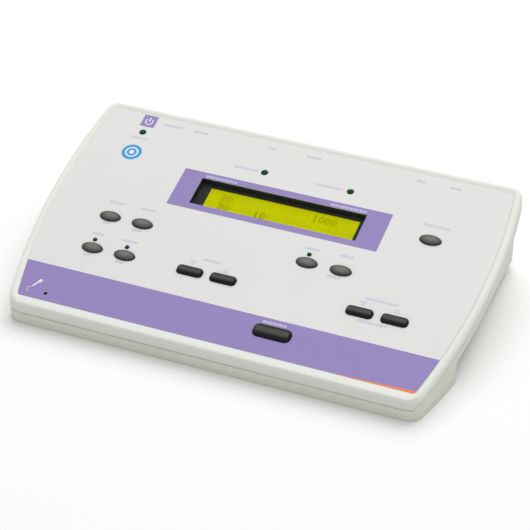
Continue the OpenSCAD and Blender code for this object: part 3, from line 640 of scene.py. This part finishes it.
def studio_air():
    """White surroundings: full strength where they are seen, mirrored or seen through, weaker as light."""
    world = bpy.data.worlds.new("studio")
    bpy.context.scene.world = world
    world.use_nodes = True
    nodes, links = world.node_tree.nodes, world.node_tree.links
    rays = nodes.new("ShaderNodeLightPath")
    seen = rays.outputs["Is Camera Ray"]
    for ray in ("Is Glossy Ray", "Is Transmission Ray"):
        either = nodes.new("ShaderNodeMath")
        either.operation = "MAXIMUM"
        links.new(seen, either.inputs[0])
        links.new(rays.outputs[ray], either.inputs[1])
        seen = either.outputs["Value"]
    strength = nodes.new("ShaderNodeMix")
    strength.data_type = "FLOAT"
    strength.inputs["A"].default_value = 0.56
    strength.inputs["B"].default_value = 1.0
    links.new(seen, strength.inputs["Factor"])
    air = nodes["Background"]
    air.inputs["Color"].default_value = (1, 1, 1, 1)
    links.new(strength.outputs["Result"], air.inputs["Strength"])


def softbox(name, place, size, power):
    """Round softbox aimed at the origin."""
    data = bpy.data.lights.new(name, "AREA")
    data.shape = "DISK"
    data.size = size
    data.energy = power
    lamp = bpy.data.objects.new(name, data)
    lamp.location = place
    lamp.rotation_euler = (-Vector(place)).to_track_quat("-Z", "Y").to_euler()
    bpy.context.scene.collection.objects.link(lamp)
    return lamp


studio_floor()
studio_air()
# The softbox over the case leaves the floor out, and the one behind lights the floor alone, so that
# the floor keeps the shadow that falls towards the front
lit_floor = bpy.data.objects["studio_floor"]
for lamp, state in ((softbox("softbox_over", (-0.12, 0.9, 2.85), 3.2, 50), "EXCLUDE"),
                    (softbox("softbox_behind", (0.05, 1.8, 2.6), 3.2, 65), "INCLUDE")):
    lit = bpy.data.collections.new(lamp.name + "_light")
    lit.objects.link(lit_floor)
    lit.collection_objects[0].light_linking.link_state = state
    lamp.light_linking.receiver_collection = lit
bpy.context.scene.view_settings.view_transform = "Standard"


# ---- top cover ------------------------------------------------------------------------
# Rows of (front inset, front rise, side inset, side rise), from the seam to the recess
rim_rows = [
    (0.0, -5.6, 0.0, -1.9), (0.05, -4.5, 0.05, -1.45), (0.16, -3.5, 0.2, -1.0), (0.3, -2.75, 0.45, -0.6),
    (0.46, -2.05, 0.8, -0.2), (0.64, -1.43, 1.2, 0.08), (0.84, -0.87, 1.65, 0.33), (1.06, -0.43, 2.15, 0.54),
    (1.34, -0.13, 2.7, 0.68), (1.8, -0.01, 3.25, 0.6), (3.8, 0.0, 3.75, 0.38), (5.2, 0.0, 4.2, 0.14),
    (6.05, -0.02, 4.55, 0.0), (6.17, -0.14, 4.72, -0.12), (6.2, -0.5, 4.8, -0.5)]


def top_cover():
    rings = [rim_ring((4.6, -3.0), (3.1, -3.0))]
    rings += [seam_ring(inset, lift) for inset, lift in ((3.1, 0.05), (0.5, 0.05), (0.16, 0.2), (0.0, 0.6))]
    rings += [rim_ring((a, b), (c, d)) for a, b, c, d in rim_rows]
    cover = lofted("cover_shell", rings, 40)
    combined(cover, hole_cutters(-6, 4, KEY_GAP, 1.0), "DIFFERENCE")
    finish_mesh(cover, "cover_shell", 40)
    dress(cover, shell_finish, "case", ["top_cover"])


top_cover()


# ---- base -------------------------------------------------------------------------------
def level_ring(half, height):
    """Level ring of an outline."""
    return whole_ring(half, [height] * len(half))


def band_ring(inset, drop):
    """Ring at a fixed drop under the slope of the panel."""
    half = half_outline(inset, inset)
    return whole_ring(half, [panel_height(y) - drop for x, y in half])


def tray_block():
    """Straight-sided tray with rounded back corners, its top cut just under the seam."""
    r = 4.0
    plan = [(-TRAY_X, FRONT_Y + 32), (TRAY_X, FRONT_Y + 32)]
    plan += arc((TRAY_X - r, REAR_Y - r), r, 0, math.pi / 2, 10)
    plan += arc((-TRAY_X + r, REAR_Y - r), r, math.pi / 2, math.pi, 10)
    top = [Vector((x, y, panel_height(y) - SEAM_DROP - 0.22)) * MM for x, y in plan]
    low = [Vector((x, y, BASE_Z)) * MM for x, y in plan]
    return lofted("tray", [low, top], 40)


def flush_band():
    """Band under the seam, flush with the cover, its upper edge rounded into the gap."""
    low = SEAM_DROP + FLANGE
    return lofted("band", [band_ring(0.45, low), band_ring(0.0, low - 0.45), seam_ring(0.0, -BASE_GAP - 0.55),
                           seam_ring(0.14, -BASE_GAP - 0.2), seam_ring(0.45, -BASE_GAP)], 40)


def front_feet():
    """Front bar with a foot at each end, cut back under the seam's lip and hollow between the feet."""
    half = [p for p in half_outline(0, 0) if p[1] < FOOT_Y - 1.0]
    end_x = half[-1][0] + (FOOT_Y - half[-1][1]) * math.tan(FOOT_SIDE_TURN)
    half += [(end_x - 0.25, FOOT_Y - 0.35), (end_x - 1.0, FOOT_Y)]
    # The sole is rounded by rings drawn in towards the middle of the feet
    middle_y, half_depth, half_width = FRONT_Y + 24, 24, 128
    soles = []
    for inset, rise in ((0.14, 0.0), (0.04, 0.05)):
        ring = [(x * (1 - inset / half_width), middle_y + (y - middle_y) * (1 - inset / half_depth))
                for x, y in half]
        soles.append(level_ring(ring, BAR_Z + rise))
    top = whole_ring(half, [panel_height(y) - SEAM_DROP - 1.5 for x, y in half])
    feet = lofted("feet", soles + [level_ring(half, BAR_Z + 0.15), top], 40)
    combined(feet, block("lip", (-200, FRONT_Y - 5, SEAM_Z - BASE_GAP), (200, FRONT_Y + LIP + 0.2, 30)),
             "DIFFERENCE")
    combined(feet, block("hollow", (-FEET_INNER_X, FRONT_Y + 16, -5), (FEET_INNER_X, FOOT_Y + 10, BASE_Z)),
             "DIFFERENCE")
    return feet


def hollow_outline():
    """Outline of the base's hollow: the case's outline, held inside the tray's walls."""
    points = []
    for x, y in half_outline(4.0, 4.0):
        p = (min(x, TRAY_X - 2.5), max(FRONT_Y + 4.5, min(y, REAR_Y - 4.3)))
        if not points or (Vector(p) - Vector(points[-1])).length > 0.05:
            points.append(p)
    return points + [(-x, y) for x, y in reversed(points)]


def base_tray():
    base = tray_block()
    combined(base, flush_band(), "UNION")
    combined(base, front_feet(), "UNION")
    for side in (-1, 1):
        place = (side * REAR_PAD[0], REAR_PAD[1])
        combined(base, drum("rear_foot", place, REAR_FOOT_R, BAR_Z, BASE_Z + 1), "UNION")
    hollow = [[Vector((x, y, z)) * MM for x, y in hollow_outline()] for z in (7.2, 120)]
    combined(base, lofted("hollow", hollow), "DIFFERENCE")
    # Opening for the socket plate, with the groove that holds the plate's edges
    combined(base, block("opening", (-115, REAR_Y - 6, 9.2), (115, REAR_Y + 5, 90)), "DIFFERENCE")
    combined(base, block("groove", (-116.7, REAR_Y - 3.2, 7.5), (116.7, REAR_Y - 1.0, 90)), "DIFFERENCE")
    for (x, y), seat in ((FRONT_SCREW, SOLE_Z + 2.8), (REAR_SCREW, BASE_Z + 2.8)):
        for side in (-1, 1):
            combined(base, drum("screw_well", (side * x, y), SCREW_HEAD_R, -1, seat, 32), "DIFFERENCE")
    for x, y in (FRONT_PAD, REAR_PAD):
        for side in (-1, 1):
            combined(base, drum("pad_well", (side * x, y), PAD_R, -1, SOLE_Z + 0.8), "DIFFERENCE")
    finish_mesh(base, "base_tray", 40)
    dress(base, base_finish, "case", ["base_shell"])


base_tray()


# ---- printed overlay --------------------------------------------------------------------
def recess_outline(inset):
    """Right-hand half of the recess in panel millimetres, drawn in by an inset, a hair more at the rim."""
    half = half_outline(BAND + inset, RIM_W + inset + 0.01)
    return [(x, (y - PANEL_Y) / math.cos(SLOPE)) for x, y in half]


def overlay_sheet():
    flat = recess_outline(0.02)
    sheet = prism("overlay_sheet", flat + [(-x, v) for x, v in reversed(flat)], SHEET_TOP - SHEET, SHEET_TOP)
    sheet.data.transform(panel_place)
    combined(sheet, hole_cutters(-2, 2, KEY_GAP, 0.0), "DIFFERENCE")
    finish_mesh(sheet, "overlay_sheet")
    dress(sheet, film_finish, "case", ["panel_overlay"])


def print_patch(name, points, ink, cutters=(), high=0.0):
    """A patch of ink on the overlay, in panel millimetres."""
    patch = prism(name, points, INK_FOOT, high)
    for tool in cutters:
        combined(patch, tool, "DIFFERENCE")
    patch.data.transform(panel_place)
    finish_mesh(patch, name)
    dress(patch, ink, "case")
    return patch


STRIPE_TOP = 25.7
SURROUND = (-64.35, 88.75, 65.0, 118.25)


def stripe_outline():
    """The overlay's own outline, cut square across at the stripe's upper edge."""
    flat = recess_outline(0.08)
    for a, b in zip(flat, flat[1:]):
        if a[1] < STRIPE_TOP <= b[1]:
            edge = a[0] + (b[0] - a[0]) * (STRIPE_TOP - a[1]) / (b[1] - a[1])
    lower = [p for p in flat if p[1] < STRIPE_TOP]
    return lower + [(edge, STRIPE_TOP), (-edge, STRIPE_TOP)] + [(-x, v) for x, v in reversed(lower)]


overlay_sheet()
print_patch("stripe", stripe_outline(), purple_ink,
            [prism("key_hole", bar_plan(tone_key, TONE, KEY_GAP), -1, 1),
             prism("microphone_hole", ellipse(microphone_hole, VENT_R, VENT_R, 32), -1, 1)])
print_patch("display_surround", rectangle(*SURROUND), purple_ink,
            [prism("opening", around(window_middle, WINDOW), -1, 1)])


# ---- display ------------------------------------------------------------------------------
def display_sleeve():
    """Dark sleeve in the display's opening, with a flange under the panel."""
    sleeve = prism("sleeve", around(window_middle, WINDOW, 0.9), LINER_LOW, SHEET_TOP - SHEET - 0.02)
    flange = prism("flange", around(window_middle, WINDOW, 4, 3), LINER_LOW, LINER_FLANGE_TOP)
    combined(sleeve, flange, "UNION")
    combined(sleeve, prism("opening", around(window_middle, WINDOW), -6, 2), "DIFFERENCE")
    softened(sleeve, 0.15)
    sleeve.data.transform(panel_place)
    finish_mesh(sleeve, "display_sleeve")
    dress(sleeve, mask_black, "case", ["display_liner"])


def display_mask():
    """Dark frame round the display's field, which reaches further left to hide the board beside it."""
    (u, v), half_w, half_h = field_middle, FIELD[0] / 2, FIELD[1] / 2
    left = window_middle[0] - WINDOW[0] / 2 - 1.5
    outline = rectangle(left, v - half_h - 4.5, u + half_w + 5, v + half_h + 4.5)
    mask = prism("mask", outline, MASK_LOW, MASK_TOP)
    combined(mask, prism("opening", around(field_middle, FIELD), -7, 2), "DIFFERENCE")
    combined(mask, prism("pocket", around(field_middle, FIELD, 3.5, 3.2), -12, GLASS_TOP + 0.05),
             "DIFFERENCE")
    softened(mask, 0.12)
    mask.data.transform(panel_place)
    finish_mesh(mask, "display_mask")
    dress(mask, mask_black, "case", ["display_frame"])


# Five-by-seven dot patterns of the plain digits shown on the display
digit_dots = {
    "0": "01110 10001 10001 10001 10001 10001 01110",
    "1": "00100 01100 00100 00100 00100 00100 01110",
    "2": "01110 10001 00001 00110 01000 10000 11111",
    "3": "11111 00010 00100 00010 00001 10001 01110",
}


# Numbers shown, each with its first column and its line, counted from the lower left
readings = [("20", 2, 1), ("1000", 17, 1), ("30", 2, 0), ("10", 8, 0)]
DOT = 0.5
DOT_PITCH = 0.62
DIGIT_PITCH = 3.8
LINE_PITCH = 6.8


def lit_dots(digit):
    """Column and height, in dots, of each lit dot of a digit."""
    rows = digit_dots[digit].split()
    return [(i, 6 - j) for j, row in enumerate(rows) for i, on in enumerate(row) if on == "1"]


def display_digits():
    """Reading on the display: plain numbers in two lines of dots."""
    left, low = field_middle[0] - FIELD[0] / 2 + 1.0, field_middle[1] - FIELD[1] / 2 + 1.6
    places = []
    for number, column, line in readings:
        for k, digit in enumerate(number):
            places += [(left + (column + k) * DIGIT_PITCH + i * DOT_PITCH,
                        low + line * LINE_PITCH + j * DOT_PITCH) for i, j in lit_dots(digit)]
    first = block("dot", (-DOT / 2, -DOT / 2, -0.015), (DOT / 2, DOT / 2, 0.015))
    copies = []
    for u, v in places:
        piece = first.copy()
        piece.data = first.data.copy()
        piece.data.transform(Matrix.Translation(Vector((u, v, GLASS_TOP + 0.01)) * MM))
        bpy.context.scene.collection.objects.link(piece)
        copies.append(piece)
    bpy.data.objects.remove(first)
    digits = joined(copies, "display_digits")
    digits.data.transform(panel_place)
    finish_mesh(digits, "display_digits")
    dress(digits, character_ink, "case")


display_sleeve()
display_mask()
display_digits()


# ---- keys and lamps -------------------------------------------------------------------------
def form_rings(plan, rows):
    """Rings of a plan form: plan(inset) gives the outline, rows are (inset, height)."""
    return [[Vector((x, y, z)) * MM for x, y in plan(inset)] for inset, z in rows]


def key_cap(name, plan, centre, rows, rubber):
    """Moulded key: the crowned cap, the flange that keeps it in its hole and the stem under it."""
    cap = lofted(name, form_rings(plan, rows), 50)
    flange = lofted("flange", form_rings(plan, [(-FLANGE_GROW, height) for height in KEY_FLANGE]), 40)
    combined(cap, flange, "UNION")
    combined(cap, drum("stem", centre, STEM_R, STEM_FOOT, KEY_FOOT + 0.1, 32), "UNION")
    cap.data.transform(panel_place)
    finish_mesh(cap, name + "_cap", 42)
    dress(cap, rubber, name, [name])


def crown_rows(edge, rounding, reach, steps=9):
    """Rows of (inset, height) from the flank, round the edge and up a crown that is flat at reach."""
    rows = [(0.0, KEY_FOOT), (0.0, edge - rounding)]
    rows += [(rounding * (1 - math.cos(a)) * 0.6, edge - rounding + rounding * math.sin(a) * 0.75)
             for a in (0.5, 0.9, 1.25)]
    start = rows[-1]
    for k in range(1, steps + 1):
        t = k / steps
        inset = start[0] + (reach - start[0]) * t
        rows.append((inset, start[1] + (KEY_H - start[1]) * (1 - (1 - t) ** 2)))
    return rows


def oval_ring_plan(centre):
    """The crown of an oval key keeps the oval's own proportions as it draws in."""
    return lambda i: ellipse(centre, OVAL[0] / 2 - i * (OVAL[0] / OVAL[1] if i > 0.3 else 1), OVAL[1] / 2 - i)


def bar_ring_plan(centre, size):
    """The ridge of a bar key runs nearly to its ends, so the ends draw in less than the sides."""
    def plan(i):
        end = i if i < 0.3 else 0.3 + (i - 0.3) * 0.45
        width = size[1] - 2 * i
        r = BAR_CORNER * size[1] - i
        if i > 0:
            r = min(max(r, 0.25), width / 2 - 0.02)
        return rounded_bar(centre, size[0] - 2 * end, width, r)
    return plan


for key, place in ovals.items():
    key_cap(key, oval_ring_plan(place), place, crown_rows(1.15, 0.45, 3.1), grey_rubber)
for key, place in bars.items():
    key_cap(key, bar_ring_plan(place, BAR), place, crown_rows(1.3, 0.4, 2.8), black_rubber)
key_cap("present_key", bar_ring_plan(tone_key, TONE), tone_key, crown_rows(1.1, 0.4, 3.9), black_rubber)


def lamp_domes(name, places, r, node):
    """Lamps of one size: a straight body with a round dome that stands a little over the panel."""
    rows = [(0.0, LAMP_FOOT), (0.0, LAMP_H - r)]
    rows += [(r - r * math.cos(a), LAMP_H - r + r * math.sin(a))
             for a in [math.radians(d) for d in (12, 24, 36, 48, 60, 72, 83)]]
    domes = [lofted("dome", form_rings(lambda i, q=p: ellipse(q, r - i, r - i, 32), rows), 50)
             for p in places]
    lens = joined(domes, name)
    lens.data.transform(panel_place)
    finish_mesh(lens, name, 50)
    dress(lens, lamp_lens, "case", [node])


lamp_domes("status_lamp_lenses", lamps, LAMP_R, "status_lamps")
lamp_domes("key_lamp_lenses", small_lamps, SMALL_LAMP_R, "key_lamps")


def microphone_hole_shade():
    """Black plug just under the overlay in the microphone's hole: painted shade that keeps the hole dark."""
    rows = [(0.0, -2.6), (0.0, -0.75), (0.25, -0.55), (0.7, -0.45)]
    radius = VENT_R - 0.01
    plugs = form_rings(lambda i: ellipse(microphone_hole, radius - i, radius - i, 32), rows)
    dark_plug = lofted("dark_plug", plugs, 40)
    dark_plug.data.transform(panel_place)
    finish_mesh(dark_plug, "microphone_hole_shade", 40)
    dress(dark_plug, vent_black, "case")


microphone_hole_shade()


# ---- print on the overlay ---------------------------------------------------------------------
def label_marks(name, centre, width, ink=pale_ink, high=0.0):
    """A label's place: a row of small blocks, with no lettering."""
    height = 1.8
    count = max(2, round(width / 1.5))
    pitch = (width + 0.35) / count
    marks = []
    for k in range(count):
        u = centre[0] - width / 2 + k * pitch
        long = pitch - (0.3, 0.45, 0.35, 0.55)[k % 4]
        marks.append(prism("block", rectangle(u, centre[1] - height / 2, u + long, centre[1] + height / 2),
                           INK_FOOT, high))
    row = joined(marks, name)
    row.data.transform(panel_place)
    finish_mesh(row, name)
    dress(row, ink, "case")


# Middle and length of each label on the bare overlay
label_places = [
    (-101.1, 133.2, 11.2), (-85.2, 147.8, 12.5), (-66.5, 147.8, 8.6), (-20.8, 147.5, 4.4), (5.7, 147.5, 9.6),
    (71.8, 147.5, 5.0), (92.9, 147.5, 6.6), (-29.8, 128.0, 14.4), (22.3, 128.1, 16.4), (-92.2, 80.6, 9.0),
    (-72.1, 80.7, 8.8), (-92.7, 55.2, 7.0), (-72.2, 55.1, 8.8), (-21.2, 55.0, 10.4), (30.4, 80.1, 7.8),
    (50.4, 80.5, 7.8), (80.6, 54.9, 18.6), (91.4, 116.4, 15.6), (-92.2, 64.4, 3.8), (-72.4, 64.1, 6.2),
    (-92.7, 38.7, 3.8), (-72.2, 38.9, 4.6), (48.6, 64.0, 7.4), (80.3, 38.6, 16.6)]
for k, (u, v, w) in enumerate(label_places):
    label_marks("label_%02d" % (k + 1), (u, v), w)
label_marks("surround_label_left", (-40.4, 115.5), 19, surround_ink, OVERPRINT)
label_marks("surround_label_right", (38.8, 115.5), 22, surround_ink, OVERPRINT)
label_marks("tone_label", (29.4, 22.7), 13.8, surround_ink, OVERPRINT)


def triangle(u, v, size, way):
    """Upright or, with way -1, hanging triangle about a middle point."""
    corners = [(u - size * 0.58, v - size * 0.45 * way), (u + size * 0.58, v - size * 0.45 * way),
               (u, v + size * 0.55 * way)]
    return corners if way > 0 else corners[::-1]


# Hollow arrows over the bar keys, with -1 for down and 1 for up
arrows = [(-31.2, 50.9, -1), (-10.9, 50.6, 1), (70.9, 51.0, -1), (90.8, 51.0, 1)]
for k, (u, v, way) in enumerate(arrows):
    print_patch("arrow_%d" % (k + 1), triangle(u, v, 3.5, way), pale_ink,
                [prism("inside", triangle(u, v, 1.6, way), -1, 1)])

power_sign = (-101.0, 147.6)
disc_middle = (-100.9, 121.2)
print_patch("power_square", rectangle(-105.5, 143.2, -96.5, 152.7), purple_ink)
print_patch("blue_disc", ellipse(disc_middle, 6.1, 6.1, 64), blue_ink)
print_patch("orange_line", [(73, -0.05), (117.5, -0.05), (118.2, 1.75), (110, 1.35), (90, 0.6), (73, 0.12)],
            orange_ink, high=OVERPRINT)


def white_ring(name, centre, outer, inner, start, end):
    """White ring, open between its end and its start, in degrees."""
    a, b = math.radians(start), math.radians(end)
    points = arc(centre, outer, a, b, 40) + arc(centre, inner, b, a, 40)
    print_patch(name, points, white_ink, high=OVERPRINT)


white_ring("power_ring", power_sign, 2.6, 1.9, 130, 410)
print_patch("power_bar", around((power_sign[0], power_sign[1] + 1.7), (0.7, 3.4)), white_ink, high=OVERPRINT)
white_ring("disc_ring", disc_middle, 4.1, 3.1, 0, 359.5)
print_patch("disc_centre", ellipse(disc_middle, 1.6, 1.6, 32), white_ink, high=OVERPRINT)


def microphone_sign():
    """Sign of a small hand-held microphone, printed in white, with a paler curl of lead."""
    tip = Vector((-109.5, 12.8))
    tail = Vector((-112.4, 7.9))
    curl = (-113.1, 5.6)
    along = (tip - tail).normalized()
    side = Vector((-along.y, along.x))
    head = [tuple(tip + along * 1.25 * math.cos(a) + side * 1.05 * math.sin(a))
            for a in [2 * math.pi * k / 24 for k in range(24)]]
    handle = [tuple(tip - along * 0.5 + side * 0.6), tuple(tail + side * 0.45), tuple(tail - side * 0.45),
              tuple(tip - along * 0.5 - side * 0.6)]
    print_patch("sign_head", head, white_ink, high=OVERPRINT)
    print_patch("sign_handle", handle, white_ink, high=0.75 * OVERPRINT)
    start, end = math.radians(75), math.radians(265)
    lead = arc(curl, 1.9, start, end, 12) + arc(curl, 1.4, end, start, 12)
    print_patch("sign_lead", lead, pale_ink, high=0.5 * OVERPRINT)


microphone_sign()


# ---- pieces refined from their solids -------------------------------------------------------------
def refined(node, name, material, width, body="case"):
    """A copy of a solid with its facets merged and its edges softened."""
    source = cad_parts[node]
    obj = bpy.data.objects.new(name, source.data.copy())
    bpy.context.scene.collection.objects.link(obj)
    only(obj)
    bpy.ops.object.mode_set(mode="EDIT")
    bpy.ops.mesh.select_all(action="SELECT")
    bpy.ops.mesh.remove_doubles(threshold=2e-6)
    bpy.ops.mesh.dissolve_limited(angle_limit=math.radians(1.0))
    bpy.ops.object.mode_set(mode="OBJECT")
    softened(obj, width, 35)
    finish_mesh(obj, name, 38)
    dress(obj, material, body, [node])


for node, name, material, slot, width in (
        ("rear_panel", "socket_plate", shell_finish, "shell", 0.2),
        ("left_jack", "left_socket", dark_plastic, "dark_plastic", 0.3),
        ("right_jack", "right_socket", dark_plastic, "dark_plastic", 0.3),
        ("response_jack", "response_socket", dark_plastic, "dark_plastic", 0.3),
        ("jack_nuts", "socket_nuts", nickel, "plated_metal", 0.25),
        ("usb_socket", "computer_socket", nickel, "plated_metal", 0.15),
        ("printer_socket", "round_socket", dark_plastic, "dark_plastic", 0.12),
        ("power_inlet", "supply_socket", dark_plastic, "dark_plastic", 0.15),
        ("switch_housing", "rocker_bezel", dark_plastic, "dark_plastic", 0.25),
        ("rubber_feet", "foot_pads", soft_rubber, "soft_rubber", 0.25),
        ("case_screws", "case_screw_heads", zinc_steel, "steel", 0.12)):
    refined(node, name, material, width)
refined("power_rocker", "rocker_cap", dark_plastic, 0.3, "power_rocker")

# Solids that are shown as they are
for node, material in (
        ("display_window", clear_window), ("display_glass", display_field), ("display_board", board_lacquer),
        ("key_board", board_lacquer), ("key_switches", nickel), ("microphone", vent_black),
        ("microphone_boot", vent_black), ("main_board", board_lacquer), ("board_chips", dark_plastic),
        ("board_capacitors", sleeve_finish), ("board_screws", zinc_steel), ("board_headers", dark_plastic),
        ("ribbon_cable", cable_finish)):
    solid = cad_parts[node]
    solid.data.materials.clear()
    solid.data.materials.append(material)
